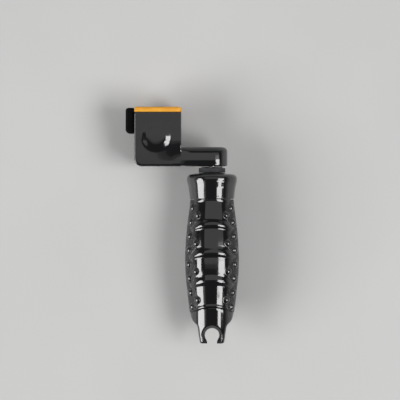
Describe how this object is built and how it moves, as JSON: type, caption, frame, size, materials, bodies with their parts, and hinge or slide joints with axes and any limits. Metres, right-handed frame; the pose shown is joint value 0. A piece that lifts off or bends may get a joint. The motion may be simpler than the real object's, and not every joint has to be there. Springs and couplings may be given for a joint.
{
  "type": "string winder",
  "caption": "Guitar string winder: a cranked head with a soft socket spins freely in a bulged, ribbed grip whose forked nose pulls bridge pins.",
  "frame": {"origin": "centre of the footprint, on the surface that the winder lies on", "axes": "+Y along the spin axis from the puller's tips to the mouth of the head; +Z out of the front, up from the surface; the head lies towards -X"},
  "size_m": [0.0594, 0.124, 0.0294],
  "materials": {
    "gloss_black": "polished injection-moulded black plastic",
    "amber_soft": "satin amber soft-touch elastomer",
    "black_rubber": "matte black soft-touch elastomer",
    "bright_steel": "ground bright steel",
    "dark_nylon": "satin dark bearing plastic",
    "zinc_screw": "zinc-plated steel"
  },
  "bodies": {
    "grip": {"neck_bush": "dark_nylon", "lower_bush": "dark_nylon", "grip_collar": "gloss_black", "front_grip_shell": "gloss_black", "rear_grip_shell": "gloss_black", "bridge_pin_puller": "gloss_black", "shell_screw_upper_left": "zinc_screw", "shell_screw_upper_right": "zinc_screw", "shell_screw_lower_left": "zinc_screw", "shell_screw_lower_right": "zinc_screw"},
    "crank": {"crank_arm": "gloss_black", "head_liner": "amber_soft", "headstock_bumper": "black_rubber", "crank_shaft": "bright_steel", "upper_thrust_washer": "dark_nylon", "lower_thrust_washer": "bright_steel", "retaining_ring": "bright_steel"}
  },
  "joints": [
    {"name": "crank_spin", "type": "hinge", "parent": "grip", "child": "crank", "pos_m": [0.01557, -0.002, 0.01469], "axis": [0, 1, 0], "continuous": true}
  ]
}
